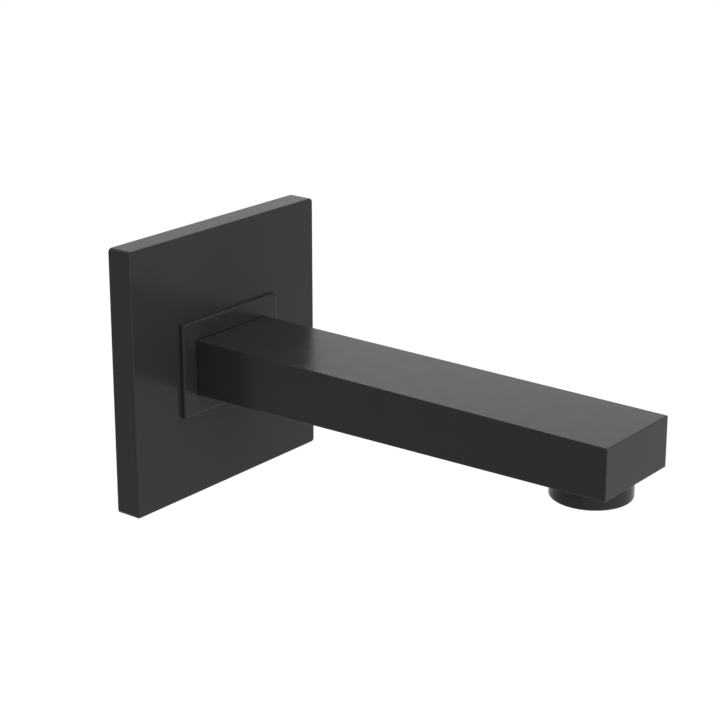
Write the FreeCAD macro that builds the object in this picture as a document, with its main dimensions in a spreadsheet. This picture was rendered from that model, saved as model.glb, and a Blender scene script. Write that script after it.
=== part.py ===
import FreeCAD, Part
import os
import re
import Sketcher

# Bath spout for a wall: a square plate, a collar, a flat bar and an aerator under its end.
# The origin is the middle of the water inlet on the finished wall. The wall is the plane Y = 0.
# The spout stands out towards -Y, +X is to the right as one faces the wall, and +Z is up.
# A distance in this file is measured from the wall towards -Y, and all sizes are in millimetres.

SIZES = {
    # Wall plate
    "plate_width": 100,
    "plate_depth": 10,
    "plate_corner": 1.5,
    "plate_edge": 0.5,
    "plate_skin": 2.5,
    "plate_rim": 2.5,
    # Rubber frame let into the plate's back
    "gasket_width": 3.3,
    "gasket_depth": 3,
    "gasket_clearance": 0.1,
    # Collar round the bar, with its sleeve through the plate
    "collar_width": 52,
    "collar_height": 36,
    "collar_depth": 2,
    "collar_edge": 0.5,
    "sleeve_wall": 1.8,
    "sleeve_clearance": 0.05,
    "arm_clearance": 0.15,
    # Rubber frame in the collar's groove
    "groove_depth": 0.9,
    "groove_width": 1.8,
    "groove_distance": 9,
    "seal_clearance": 0.05,
    # Bar
    "arm_width": 38,
    "arm_root_height": 21,
    "arm_tip_height": 18,
    "arm_back": 7.8,
    "arm_edge": 0.3,
    "arm_wall": 3,
    "reach": 185,
    # Socket in the bar's root, and the throat to the waterway
    "socket_radius": 7.5,
    "socket_end": 42,
    "socket_chamfer": 0.8,
    "throat_radius": 6,
    "throat_length": 4,
    # Wall nipple
    "inlet_thread_radius": 10.48,
    "inlet_thread_length": 15,
    "inlet_thread_start": 0.2,
    "inlet_chamfer": 1,
    "relief_radius": 9.2,
    "nipple_bore": 5.1,
    "hex_across": 24,
    "hex_thickness": 5,
    "spigot_clearance": 0.15,
    "spigot_end": 40,
    # Ring seals on the spigot
    "ring_section": 1.5,
    "ring_flats": 4,
    "ring_clearance": 0.02,
    "ring_groove_width": 2,
    "inner_ring_distance": 31,
    "outer_ring_distance": 36,
    # Sealing washer behind the hexagon, with the room that it has before it is pressed
    "washer_thickness": 1.5,
    "washer_room": 0.5,
    "washer_outer_radius": 14,
    "washer_clearance": 0.12,
    # Set screw under the bar's root, and the groove that its dog point bites in
    "screw_distance": 24,
    "screw_radius": 2.5,
    "screw_length": 3.7,
    "screw_dog_radius": 1.5,
    "screw_clearance": 0.05,
    "screw_key": 2.5,
    "screw_key_depth": 1.4,
    "lock_groove_radius": 6.1,
    "lock_groove_width": 3.6,
    # Outlet under the bar's end
    "outlet_setback": 16.5,
    "boss_wall": 2.5,
    "seat_depth": 7.5,
    "seat_thickness": 1.5,
    "chamber_radius": 9.4,
    "face_margin": 0.3,
    # Aerator housing
    "housing_radius": 14,
    "housing_drop": 7.8,
    "housing_edge": 0.6,
    "housing_bore": 10.9,
    "housing_thread_radius": 11.95,
    "housing_thread_length": 6,
    "thread_clearance": 0.1,
    "lip_radius": 10,
    "lip_height": 1,
    "stack_clearance": 0.1,
    # Rubber washer between the housing and its seat
    "outlet_washer_inner": 9.2,
    # Honeycomb outlet
    "grid_height": 3.2,
    "cell_across": 2.45,
    "cell_pitch": 2.9,
    "cell_rings": 3,
    # Wire screens, one of them turned on the axis
    "mesh_thickness": 0.4,
    "wire_width": 0.5,
    "wire_pitch": 3.3,
    "mesh_rows": 4,
    "upper_mesh_turn": 45,
    # Mixing cage
    "cage_height": 6.4,
    "cage_wall": 1.2,
    "cage_windows": 6,
    "window_width": 3.6,
    "window_height": 3,
    "window_sill": 1.6,
    # Jet plate
    "jet_plate_thickness": 1.2,
    "jet_width": 1.1,
    "inner_jets": 6,
    "inner_jet_circle": 3.4,
    "outer_jets": 12,
    "outer_jet_circle": 7.2,
    # Inlet screen with radial slots
    "screen_thickness": 1.2,
    "screen_slots": 12,
    "slot_width": 0.8,
    "slot_inner": 2.8,
    "slot_outer": 8.6,
}

document = FreeCAD.newDocument("BathSpout")
sheet = document.addObject("Spreadsheet::Sheet", "Sizes")
for row, (alias, value) in enumerate(SIZES.items(), start=1):
    sheet.set(f"A{row}", alias)
    sheet.set(f"B{row}", str(value))
    sheet.setAlias(f"B{row}", alias)
document.recompute()

# Levels and distances that several pieces share, as expressions in the sheet's names
COLLAR_FRONT = "(plate_depth + collar_depth)"
SKIN_BACK = "(plate_depth - plate_skin)"
ARM_TOP = "(arm_root_height / 2)"
OUTLET_LEVEL = "(arm_root_height / 2 - arm_tip_height)"
OUTLET_DISTANCE = "(reach - outlet_setback)"
SLEEVE_OFFSET = "(arm_clearance + sleeve_wall)"
SEAL_OFFSET = "(arm_clearance + groove_depth - seal_clearance)"
DUCT_START = "(socket_end + throat_length)"
HEX_BACK = "(washer_room + washer_thickness)"
HEX_FRONT = f"({HEX_BACK} + hex_thickness)"
SPIGOT_RADIUS = "(socket_radius - spigot_clearance)"
RING_CENTRE = "(socket_radius - ring_clearance - ring_section / 2)"
RING_GROOVE_RADIUS = "(socket_radius - 2 * ring_clearance - ring_section)"
STACK_RADIUS = "(housing_bore - stack_clearance)"
BORE_RADIUS = "(housing_thread_radius + thread_clearance)"
GRID_LEVEL = "(lip_height - housing_drop)"
LOWER_MESH_LEVEL = f"({GRID_LEVEL} + grid_height)"
UPPER_MESH_LEVEL = f"({LOWER_MESH_LEVEL} + mesh_thickness)"
CAGE_LEVEL = f"({UPPER_MESH_LEVEL} + mesh_thickness)"
JET_PLATE_LEVEL = f"({CAGE_LEVEL} + cage_height)"
SCREEN_LEVEL = f"({JET_PLATE_LEVEL} + jet_plate_thickness)"

# How close two lengths count as equal when edges are picked
NEAR = 1e-4

# The honeycomb is this many equal fields round its middle cell
GRID_FIELDS = 3


def linked(expression):
    """The expression with each of the sheet's names written as a reference to its cell."""
    return re.sub(r"[a-z]\w*", lambda word: f"Sizes.{word[0]}" if word[0] in SIZES else word[0], expression)


def bind(thing, prop, expression):
    thing.setExpression(prop, linked(expression))


def value_of(expression):
    result = sheet.evalExpression(linked(expression))
    return float(getattr(result, "Value", result))


def underside(distance):
    """Level of the bar's sloping underside at a distance from the wall."""
    rise = "(arm_root_height - arm_tip_height)"
    return f"(-arm_root_height / 2 + {rise} * ({distance} - {COLLAR_FRONT}) / (reach - {COLLAR_FRONT}))"


def new_body(label, y="0", z="0"):
    body = document.addObject("PartDesign::Body", label)
    body.Label = label
    bind(body, "Placement.Base.y", y)
    bind(body, "Placement.Base.z", z)
    return body


def new_sketch(body, name, role, offset="0"):
    """A sketch on one of the body's origin planes, moved along that plane's normal."""
    sketch = body.newObject("Sketcher::SketchObject", f"{body.Label}_{name}")
    plane = next(feature for feature in body.Origin.OriginFeatures if feature.Role == role)
    sketch.AttachmentSupport = [(plane, "")]
    sketch.MapMode = "FlatFace"
    bind(sketch, "AttachmentOffset.Base.z", offset)
    return sketch


def fix_point(sketch, line, end, point):
    """Hold one end of a line at a point that is given by two expressions."""
    for kind, expression in zip(("DistanceX", "DistanceY"), point):
        held = Sketcher.Constraint(kind, -1, 1, line, end, value_of(expression))
        index = sketch.addConstraint(held)
        bind(sketch, f"Constraints[{index}]", expression)


def polygon(sketch, points):
    corners = [FreeCAD.Vector(value_of(x), value_of(y), 0) for x, y in points]
    first = sketch.GeometryCount
    count = len(corners)
    for index, corner in enumerate(corners):
        sketch.addGeometry(Part.LineSegment(corner, corners[(index + 1) % count]))
    for index, point in enumerate(points):
        following = first + (index + 1) % count
        sketch.addConstraint(Sketcher.Constraint("Coincident", first + index, 2, following, 1))
        fix_point(sketch, first + index, 1, point)
    return sketch


def rectangle(sketch, width, height):
    x = f"({width}) / 2"
    y = f"({height}) / 2"
    return polygon(sketch, ((f"-{x}", f"-{y}"), (x, f"-{y}"), (x, y), (f"-{x}", y)))


def hexagon(sketch, across, x="0"):
    """A hexagon with flats that face left and right, at x on the sketch's own X axis."""
    half = f"({across}) / 2"
    side = f"({across}) / 2 * tan(30 deg)"
    tip = f"({across}) / 2 / cos(30 deg)"
    right = f"{x} + {half}"
    left = f"{x} - {half}"
    return polygon(sketch, (
        (right, f"-{side}"), (right, side), (x, tip), (left, side), (left, f"-{side}"), (x, f"-{tip}"),
    ))


def circle(sketch, radius, x="0"):
    centre = FreeCAD.Vector(value_of(x), 0, 0)
    index = sketch.addGeometry(Part.Circle(centre, FreeCAD.Vector(0, 0, 1), value_of(radius)))
    held = sketch.addConstraint(Sketcher.Constraint("Radius", index, value_of(radius)))
    bind(sketch, f"Constraints[{held}]", radius)
    fix_point(sketch, index, 3, (x, "0"))
    return sketch


def volume_of(body):
    return 0 if body.Shape.isNull() else body.Shape.Volume


def settle(body, feature, before, adds):
    """Recompute, and stop if the feature did not change the body's volume the way it should."""
    body.Tip = feature
    document.recompute()
    change = feature.Shape.Volume - before
    if change == 0 or (change > 0) != adds:
        raise ValueError(f"{feature.Label} changed the volume by {change:.4f}")
    return feature


def extrude(body, name, sketch, length, adds=True, towards_normal=True, midplane=False):
    """Pad or pocket a sketch by a length, along its normal or against it, or both ways by halves."""
    before = volume_of(body)
    kind = "Pad" if adds else "Pocket"
    feature = body.newObject(f"PartDesign::{kind}", f"{body.Label}_{name}")
    feature.Profile = sketch
    bind(feature, "Length", length)
    if midplane:
        feature.SideType = "Symmetric"
    feature.Reversed = towards_normal != adds
    return settle(body, feature, before, adds)


def turn(body, name, sketch, adds=True):
    """Revolve a sketch all the way round its own Y axis."""
    before = volume_of(body)
    kind = "Revolution" if adds else "Groove"
    feature = body.newObject(f"PartDesign::{kind}", f"{body.Label}_{name}")
    feature.Profile = sketch
    feature.ReferenceAxis = (sketch, ["V_Axis"])
    feature.Angle = 360
    return settle(body, feature, before, adds)


def repeat_round(body, name, feature, count, axis="N_Axis"):
    """Repeat a cut evenly round an axis of its own sketch."""
    before = volume_of(body)
    pattern = body.newObject("PartDesign::PolarPattern", f"{body.Label}_{name}")
    pattern.Originals = [feature]
    pattern.Axis = (feature.Profile[0], [axis])
    pattern.Angle = 360
    bind(pattern, "Occurrences", count)
    return settle(body, pattern, before, adds=False)


def soften(body, name, base, edges, size, kind="Fillet"):
    """Round or chamfer the named edges of the base feature."""
    before = volume_of(body)
    feature = body.newObject(f"PartDesign::{kind}", f"{body.Label}_{name}")
    feature.Base = (base, edges)
    bind(feature, "Radius" if kind == "Fillet" else "Size", size)
    return settle(body, feature, before, adds=False)


def flat_at(edge, axis, level):
    """Whether the whole edge lies at one level of an axis."""
    box = edge.BoundBox
    low = getattr(box, f"{axis}Min")
    high = getattr(box, f"{axis}Max")
    return abs(low - level) < NEAR and abs(high - level) < NEAR


def edge_names(feature, wanted):
    return [f"Edge{index}" for index, edge in enumerate(feature.Shape.Edges, start=1) if wanted(edge)]


def build_wall_plate():
    body = new_body("wall_plate")
    outline = rectangle(new_sketch(body, "outline", "XZ_Plane"), "plate_width", "plate_width")
    slab = extrude(body, "slab", outline, "plate_depth")
    depth_edges = edge_names(slab, lambda edge: edge.BoundBox.YLength > NEAR)
    corners = soften(body, "corners", slab, depth_edges, "plate_corner")
    front = -value_of("plate_depth")
    front_edges = edge_names(corners, lambda edge: flat_at(edge, "Y", front))
    soften(body, "front_edge", corners, front_edges, "plate_edge", kind="Chamfer")

    seat = "(plate_width - 2 * plate_rim)"
    seat_sketch = rectangle(new_sketch(body, "seat_outline", "XZ_Plane"), seat, seat)
    extrude(body, "seat", seat_sketch, "gasket_depth", adds=False)
    hollow = f"({seat} - 2 * gasket_width)"
    hollow_sketch = rectangle(new_sketch(body, "hollow_outline", "XZ_Plane"), hollow, hollow)
    extrude(body, "hollow", hollow_sketch, SKIN_BACK, adds=False)
    margin = f"2 * ({SLEEVE_OFFSET} + sleeve_clearance)"
    opening = new_sketch(body, "opening_outline", "XZ_Plane")
    rectangle(opening, f"arm_width + {margin}", f"arm_root_height + {margin}")
    extrude(body, "opening", opening, "plate_depth", adds=False)
    return body


def build_frame(label, outer, inner, thickness, distance):
    """A rectangular frame that stands off the wall. Outer and inner are width and height pairs."""
    body = new_body(label)
    sketch = new_sketch(body, "outline", "XZ_Plane", distance)
    rectangle(sketch, *outer)
    rectangle(sketch, *inner)
    extrude(body, "frame", sketch, thickness)
    return body


def build_wall_gasket():
    outer = "plate_width - 2 * plate_rim - 2 * gasket_clearance"
    inner = "plate_width - 2 * plate_rim - 2 * gasket_width + 2 * gasket_clearance"
    return build_frame("wall_gasket", (outer, outer), (inner, inner), "gasket_depth", "0")


def build_collar():
    body = new_body("collar")
    flange_sketch = new_sketch(body, "flange_outline", "XZ_Plane", "plate_depth")
    rectangle(flange_sketch, "collar_width", "collar_height")
    flange = extrude(body, "flange", flange_sketch, "collar_depth")
    front = -value_of(COLLAR_FRONT)
    front_edges = edge_names(flange, lambda edge: flat_at(edge, "Y", front))
    soften(body, "edge", flange, front_edges, "collar_edge", kind="Chamfer")

    sleeve_sketch = new_sketch(body, "sleeve_outline", "XZ_Plane", SKIN_BACK)
    rectangle(sleeve_sketch, f"arm_width + 2 * {SLEEVE_OFFSET}", f"arm_root_height + 2 * {SLEEVE_OFFSET}")
    extrude(body, "sleeve", sleeve_sketch, "plate_skin")
    opening = new_sketch(body, "opening_outline", "XZ_Plane", SKIN_BACK)
    rectangle(opening, "arm_width + 2 * arm_clearance", "arm_root_height + 2 * arm_clearance")
    extrude(body, "opening", opening, "plate_skin + collar_depth", adds=False)
    groove = new_sketch(body, "groove_outline", "XZ_Plane", "groove_distance")
    offset = "2 * (arm_clearance + groove_depth)"
    rectangle(groove, f"arm_width + {offset}", f"arm_root_height + {offset}")
    extrude(body, "groove", groove, "groove_width", adds=False)
    return body


def build_arm_seal():
    outer = (f"arm_width + 2 * {SEAL_OFFSET}", f"arm_root_height + 2 * {SEAL_OFFSET}")
    inner = ("arm_width + 2 * seal_clearance", "arm_root_height + 2 * seal_clearance")
    thickness = "groove_width - 2 * seal_clearance"
    return build_frame("arm_seal", outer, inner, thickness, "groove_distance + seal_clearance")


def build_spout_arm():
    body = new_body("spout_arm")
    side = polygon(new_sketch(body, "side", "YZ_Plane"), (
        ("-arm_back", ARM_TOP),
        ("-reach", ARM_TOP),
        ("-reach", OUTLET_LEVEL),
        (f"-{COLLAR_FRONT}", f"-{ARM_TOP}"),
        ("-arm_back", f"-{ARM_TOP}"),
    ))
    bar = extrude(body, "bar", side, "arm_width", midplane=True)
    back = -value_of("arm_back")
    half_width = value_of("arm_width / 2")
    tip = -value_of("reach")

    def shows(edge):
        on_side = flat_at(edge, "X", half_width) or flat_at(edge, "X", -half_width)
        return flat_at(edge, "Y", tip) or (on_side and not flat_at(edge, "Y", back))

    soften(body, "edges", bar, edge_names(bar, shows), "arm_edge", kind="Chamfer")

    # The waterway keeps the same wall as the sloping bar, and stays open at neither end.
    duct_end = "(reach - arm_wall)"
    duct = polygon(new_sketch(body, "duct_side", "YZ_Plane"), (
        (f"-{DUCT_START}", f"{ARM_TOP} - arm_wall"),
        (f"-{duct_end}", f"{ARM_TOP} - arm_wall"),
        (f"-{duct_end}", f"{underside(duct_end)} + arm_wall"),
        (f"-{DUCT_START}", f"{underside(DUCT_START)} + arm_wall"),
    ))
    extrude(body, "duct", duct, "arm_width - 2 * arm_wall", adds=False, midplane=True)

    # A boss rises through the waterway's floor and carries the outlet's thread and seat.
    boss = new_sketch(body, "boss_side", "XZ_Plane", OUTLET_DISTANCE)
    seat_level = f"({OUTLET_LEVEL} + seat_depth)"
    boss_foot = f"({underside(OUTLET_DISTANCE)} + arm_wall / 2)"
    polygon(boss, (
        ("0", boss_foot),
        (f"{BORE_RADIUS} + boss_wall", boss_foot),
        (f"{BORE_RADIUS} + boss_wall", f"{seat_level} + seat_thickness"),
        ("0", f"{seat_level} + seat_thickness"),
    ))
    turn(body, "boss", boss)
    bore = new_sketch(body, "outlet_side", "XZ_Plane", OUTLET_DISTANCE)
    face = "housing_radius + face_margin"
    polygon(bore, (
        ("0", f"-{ARM_TOP}"),
        (face, f"-{ARM_TOP}"),
        (face, OUTLET_LEVEL),
        (BORE_RADIUS, OUTLET_LEVEL),
        (BORE_RADIUS, seat_level),
        ("chamber_radius", seat_level),
        ("chamber_radius", f"{seat_level} + seat_thickness"),
        ("0", f"{seat_level} + seat_thickness"),
    ))
    turn(body, "outlet", bore, adds=False)

    socket = polygon(new_sketch(body, "socket_side", "XY_Plane"), (
        ("0", "-arm_back"),
        ("socket_radius + socket_chamfer", "-arm_back"),
        ("socket_radius", "-(arm_back + socket_chamfer)"),
        ("socket_radius", "-socket_end"),
        ("throat_radius", "-socket_end"),
        ("throat_radius", f"-{DUCT_START}"),
        ("0", f"-{DUCT_START}"),
    ))
    turn(body, "socket", socket, adds=False)
    add_screw_hole(body)
    return body


def add_screw_hole(body):
    """The set screw's hole, from the bar's underside into the socket."""
    hole = new_sketch(body, "screw_outline", "XY_Plane", f"-{ARM_TOP}")
    radius = value_of("screw_radius + screw_clearance")
    centre = FreeCAD.Vector(0, -value_of("screw_distance"), 0)
    index = hole.addGeometry(Part.Circle(centre, FreeCAD.Vector(0, 0, 1), radius))
    held = hole.addConstraint(Sketcher.Constraint("Radius", index, radius))
    bind(hole, f"Constraints[{held}]", "screw_radius + screw_clearance")
    fix_point(hole, index, 3, ("0", "-screw_distance"))
    extrude(body, "screw_hole", hole, ARM_TOP, adds=False)


def build_wall_nipple():
    body = new_body("wall_nipple")
    thread_end = "inlet_thread_length"

    def groove(distance, width, radius):
        """Four corners of a groove round the spigot."""
        near = f"-({distance} - {width} / 2)"
        far = f"-({distance} + {width} / 2)"
        return [(SPIGOT_RADIUS, near), (radius, near), (radius, far), (SPIGOT_RADIUS, far)]

    points = [
        ("nipple_bore", thread_end),
        ("inlet_thread_radius - inlet_chamfer", thread_end),
        ("inlet_thread_radius", f"{thread_end} - inlet_chamfer"),
        ("inlet_thread_radius", "-inlet_thread_start"),
        ("relief_radius", "-inlet_thread_start"),
        ("relief_radius", f"-{HEX_FRONT}"),
        (SPIGOT_RADIUS, f"-{HEX_FRONT}"),
    ]
    points += groove("screw_distance", "lock_groove_width", "lock_groove_radius")
    points += groove("inner_ring_distance", "ring_groove_width", RING_GROOVE_RADIUS)
    points += groove("outer_ring_distance", "ring_groove_width", RING_GROOVE_RADIUS)
    points += [(SPIGOT_RADIUS, "-spigot_end"), ("nipple_bore", "-spigot_end")]
    turn(body, "turned", polygon(new_sketch(body, "profile", "XY_Plane"), points))

    hex_sketch = new_sketch(body, "hexagon", "XZ_Plane", HEX_BACK)
    hexagon(hex_sketch, "hex_across")
    circle(hex_sketch, "nipple_bore")
    extrude(body, "hexagon", hex_sketch, "hex_thickness")
    return body


def build_ring(label, distance):
    """A ring seal in its groove on the spigot. Flats that touch its round section stand for it."""
    body = new_body(label, y=f"-{distance}")
    flats = int(value_of("ring_flats"))
    half_step = f"(180 deg / {flats})"
    corner_radius = f"(ring_section / 2 / cos({half_step}))"
    corners = []
    for index in range(flats):
        angle = f"({2 * index + 1} * {half_step})"
        corners.append((f"{RING_CENTRE} + {corner_radius} * cos({angle})", f"{corner_radius} * sin({angle})"))
    turn(body, "ring", polygon(new_sketch(body, "section", "XY_Plane"), corners))
    return body


def build_nipple_washer():
    body = new_body("nipple_washer")
    sketch = new_sketch(body, "outline", "XZ_Plane", "washer_room")
    circle(sketch, "washer_outer_radius")
    circle(sketch, "inlet_thread_radius + washer_clearance")
    extrude(body, "washer", sketch, "washer_thickness")
    return body


def build_grub_screw():
    """The screw's dog point reaches up into the nipple's groove, and its key socket faces down."""
    tip_depth = "(lock_groove_radius + screw_clearance)"
    shoulder = f"screw_length - (socket_radius - {tip_depth})"
    body = new_body("grub_screw", y="-screw_distance", z=f"-({tip_depth} + screw_length)")
    profile = polygon(new_sketch(body, "profile", "XZ_Plane"), (
        ("0", "0"),
        ("screw_radius", "0"),
        ("screw_radius", shoulder),
        ("screw_dog_radius", shoulder),
        ("screw_dog_radius", "screw_length"),
        ("0", "screw_length"),
    ))
    turn(body, "turned", profile)
    key = hexagon(new_sketch(body, "key", "XY_Plane"), "screw_key")
    extrude(body, "key_socket", key, "screw_key_depth", adds=False)
    return body


def aerator_body(label):
    """A body on the outlet's axis, with its origin at the face where the housing meets the bar."""
    return new_body(label, y=f"-{OUTLET_DISTANCE}", z=OUTLET_LEVEL)


def build_aerator_housing():
    body = aerator_body("aerator_housing")
    profile = polygon(new_sketch(body, "profile", "XZ_Plane"), (
        ("lip_radius", "-housing_drop"),
        ("housing_radius", "-housing_drop"),
        ("housing_radius", "0"),
        ("housing_thread_radius", "0"),
        ("housing_thread_radius", "housing_thread_length"),
        ("housing_bore", "housing_thread_length"),
        ("housing_bore", GRID_LEVEL),
        ("lip_radius", GRID_LEVEL),
    ))
    turned = turn(body, "turned", profile)
    bottom = -value_of("housing_drop")
    outermost = value_of("housing_radius")

    def rim(edge):
        return flat_at(edge, "Z", bottom) and edge.BoundBox.XMax > outermost - NEAR

    soften(body, "edge", turned, edge_names(turned, rim), "housing_edge", kind="Chamfer")
    return body


def build_disc(label, level, thickness, radius, hole=None):
    """A round disc or ring in the aerator's stack."""
    body = aerator_body(label)
    sketch = new_sketch(body, "outline", "XY_Plane", level)
    circle(sketch, radius)
    if hole:
        circle(sketch, hole)
    extrude(body, "disc", sketch, thickness)
    return body


def build_aerator_washer():
    outer = "housing_thread_radius - stack_clearance"
    thickness = "seat_depth - housing_thread_length"
    return build_disc("aerator_washer", "housing_thread_length", thickness, outer, "outlet_washer_inner")


def build_outlet_grid():
    """Six-sided cells in rings round a middle cell, cut as three fields that each fill a third."""
    body = build_disc("outlet_grid", GRID_LEVEL, "grid_height", STACK_RADIUS)
    middle = hexagon(new_sketch(body, "middle_cell", "XY_Plane", GRID_LEVEL), "cell_across")
    extrude(body, "middle_cut", middle, "grid_height", adds=False)
    sketch = hexagon(new_sketch(body, "cell", "XY_Plane", GRID_LEVEL), "cell_across", "cell_pitch")
    slant_end = ("-cell_pitch / 2", "cell_pitch * cos(30 deg)")
    end = FreeCAD.Vector(value_of(slant_end[0]), value_of(slant_end[1]), 0)
    slanted = sketch.addGeometry(Part.LineSegment(FreeCAD.Vector(), end), True)
    sketch.addConstraint(Sketcher.Constraint("Coincident", -1, 1, slanted, 1))
    fix_point(sketch, slanted, 2, slant_end)
    cell = extrude(body, "cell_cut", sketch, "grid_height", adds=False)

    before = volume_of(body)
    field = body.newObject("PartDesign::MultiTransform", "outlet_grid_cells")
    rows = body.newObject("PartDesign::LinearPattern", "outlet_grid_rows")
    rows.Direction = (sketch, ["H_Axis"])
    bind(rows, "Occurrences", "cell_rings")
    bind(rows, "Length", "cell_pitch * (cell_rings - 1)")
    slants = body.newObject("PartDesign::LinearPattern", "outlet_grid_slants")
    slants.Direction = (sketch, ["Axis0"])
    bind(slants, "Occurrences", "cell_rings + 1")
    bind(slants, "Length", "cell_pitch * cell_rings")
    thirds = body.newObject("PartDesign::PolarPattern", "outlet_grid_thirds")
    thirds.Axis = (sketch, ["N_Axis"])
    thirds.Angle = 360
    thirds.Occurrences = GRID_FIELDS
    field.Originals = [cell]
    field.Transformations = [rows, slants, thirds]
    settle(body, field, before, adds=False)
    return body


def build_wire_screen(label, level, turned="0"):
    """Crossing wires in a rim: a thin disc with square openings in rows and columns."""
    body = build_disc(label, level, "mesh_thickness", STACK_RADIUS)
    bind(body, "Placement.Rotation.Angle", f"{turned} * 1 deg")
    half_field = "((mesh_rows - 1) / 2 * wire_pitch)"
    half_gap = "((wire_pitch - wire_width) / 2)"
    low = f"-({half_field} + {half_gap})"
    high = f"{half_gap} - {half_field}"
    gap = new_sketch(body, "gap", "XY_Plane", level)
    polygon(gap, ((low, low), (high, low), (high, high), (low, high)))
    corner = extrude(body, "gap_cut", gap, "mesh_thickness", adds=False)

    before = volume_of(body)
    field = body.newObject("PartDesign::MultiTransform", f"{label}_gaps")
    steps = []
    for name, axis in (("rows", "H_Axis"), ("columns", "V_Axis")):
        step = body.newObject("PartDesign::LinearPattern", f"{label}_{name}")
        step.Direction = (gap, [axis])
        bind(step, "Occurrences", "mesh_rows")
        bind(step, "Length", "wire_pitch * (mesh_rows - 1)")
        steps.append(step)
    field.Originals = [corner]
    field.Transformations = steps
    settle(body, field, before, adds=False)
    return body


def build_aerator_cage():
    """A sleeve with air windows, which holds the screens down on the outlet."""
    inner = f"({STACK_RADIUS} - cage_wall)"
    body = build_disc("aerator_cage", CAGE_LEVEL, "cage_height", STACK_RADIUS, inner)
    sill = f"({CAGE_LEVEL} + window_sill)"
    window_sketch = new_sketch(body, "window", "XZ_Plane")
    polygon(window_sketch, (
        ("-window_width / 2", sill),
        ("window_width / 2", sill),
        ("window_width / 2", f"{sill} + window_height"),
        ("-window_width / 2", f"{sill} + window_height"),
    ))
    window = extrude(body, "window", window_sketch, STACK_RADIUS, adds=False)
    repeat_round(body, "windows", window, "cage_windows", axis="V_Axis")
    return body


def build_jet_plate():
    """A disc with two rings of small square jets."""
    body = build_disc("jet_plate", JET_PLATE_LEVEL, "jet_plate_thickness", STACK_RADIUS)
    for name, circle_radius, count in (
        ("inner", "inner_jet_circle", "inner_jets"),
        ("outer", "outer_jet_circle", "outer_jets"),
    ):
        sketch = polygon(new_sketch(body, f"{name}_jet", "XY_Plane", JET_PLATE_LEVEL), (
            (f"{circle_radius} - jet_width / 2", "-jet_width / 2"),
            (f"{circle_radius} + jet_width / 2", "-jet_width / 2"),
            (f"{circle_radius} + jet_width / 2", "jet_width / 2"),
            (f"{circle_radius} - jet_width / 2", "jet_width / 2"),
        ))
        jet = extrude(body, f"{name}_jet_hole", sketch, "jet_plate_thickness", adds=False)
        repeat_round(body, f"{name}_jet_ring", jet, count)
    return body


def build_inlet_screen():
    """A slotted disc on the jet plate, flush with the housing's rim."""
    body = build_disc("inlet_screen", SCREEN_LEVEL, "screen_thickness", STACK_RADIUS)
    slot_sketch = new_sketch(body, "slot", "XY_Plane", SCREEN_LEVEL)
    polygon(slot_sketch, (
        ("slot_inner", "-slot_width / 2"),
        ("slot_outer", "-slot_width / 2"),
        ("slot_outer", "slot_width / 2"),
        ("slot_inner", "slot_width / 2"),
    ))
    slot = extrude(body, "slot", slot_sketch, "screen_thickness", adds=False)
    repeat_round(body, "slots", slot, "screen_slots")
    return body


PIECES = [
    build_wall_plate(),
    build_wall_gasket(),
    build_collar(),
    build_arm_seal(),
    build_spout_arm(),
    build_wall_nipple(),
    build_ring("inner_o_ring", "inner_ring_distance"),
    build_ring("outer_o_ring", "outer_ring_distance"),
    build_nipple_washer(),
    build_grub_screw(),
    build_aerator_housing(),
    build_aerator_washer(),
    build_inlet_screen(),
    build_jet_plate(),
    build_aerator_cage(),
    build_wire_screen("upper_mesh", UPPER_MESH_LEVEL, "upper_mesh_turn"),
    build_wire_screen("lower_mesh", LOWER_MESH_LEVEL),
    build_outlet_grid(),
]

document.recompute()
for thing in document.Objects:
    if "Invalid" in thing.State or "Error" in thing.State:
        raise ValueError(f"{thing.Label} is {thing.State}")
os.makedirs("parts", exist_ok=True)
for piece in PIECES:
    if piece.Shape.isNull() or not piece.Shape.isValid():
        raise ValueError(f"{piece.Label} has no valid shape")
    piece.Shape.exportStep(os.path.join("parts", f"{piece.Label}.step"))
    box = piece.Shape.BoundBox
    print(f"{piece.Label}: {piece.Shape.Volume:.1f} mm3, {len(piece.Shape.Solids)} solid,"
          f" X {box.XMin:.2f} {box.XMax:.2f} Y {box.YMin:.2f} {box.YMax:.2f} Z {box.ZMin:.2f} {box.ZMax:.2f}")
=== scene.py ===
import math

import bpy
from mathutils import Matrix, Vector


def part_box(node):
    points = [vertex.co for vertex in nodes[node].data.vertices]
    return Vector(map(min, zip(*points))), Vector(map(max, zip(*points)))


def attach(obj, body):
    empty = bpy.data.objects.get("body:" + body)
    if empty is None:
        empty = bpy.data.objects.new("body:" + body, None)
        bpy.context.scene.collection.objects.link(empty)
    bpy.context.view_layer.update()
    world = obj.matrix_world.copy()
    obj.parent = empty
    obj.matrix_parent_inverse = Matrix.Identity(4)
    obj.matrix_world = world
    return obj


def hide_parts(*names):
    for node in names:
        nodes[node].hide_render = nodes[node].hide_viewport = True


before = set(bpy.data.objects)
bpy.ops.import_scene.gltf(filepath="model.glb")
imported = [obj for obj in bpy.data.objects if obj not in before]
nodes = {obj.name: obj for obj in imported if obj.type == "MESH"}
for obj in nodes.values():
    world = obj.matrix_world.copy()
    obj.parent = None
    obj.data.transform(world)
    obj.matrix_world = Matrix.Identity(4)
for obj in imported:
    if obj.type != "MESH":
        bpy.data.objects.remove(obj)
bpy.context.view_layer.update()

# Looks of a bath spout: satin black plate, collar and bar, with a turned nipple behind and an aerator below.
# Y = 0 is the wall, the spout reaches to -Y, and Z is up. Blender works in metres, but sizes and places of
# pieces are written in millimetres. They come from the frame's boxes, and what the boxes do not give has a
# name, either here or beside its piece.
MM = 0.001
BOX_DECIMALS = 3


def box_in_mm(node):
    """A node's lowest and highest corners."""
    return [[round(value / MM, BOX_DECIMALS) for value in corner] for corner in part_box(node)]


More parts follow.
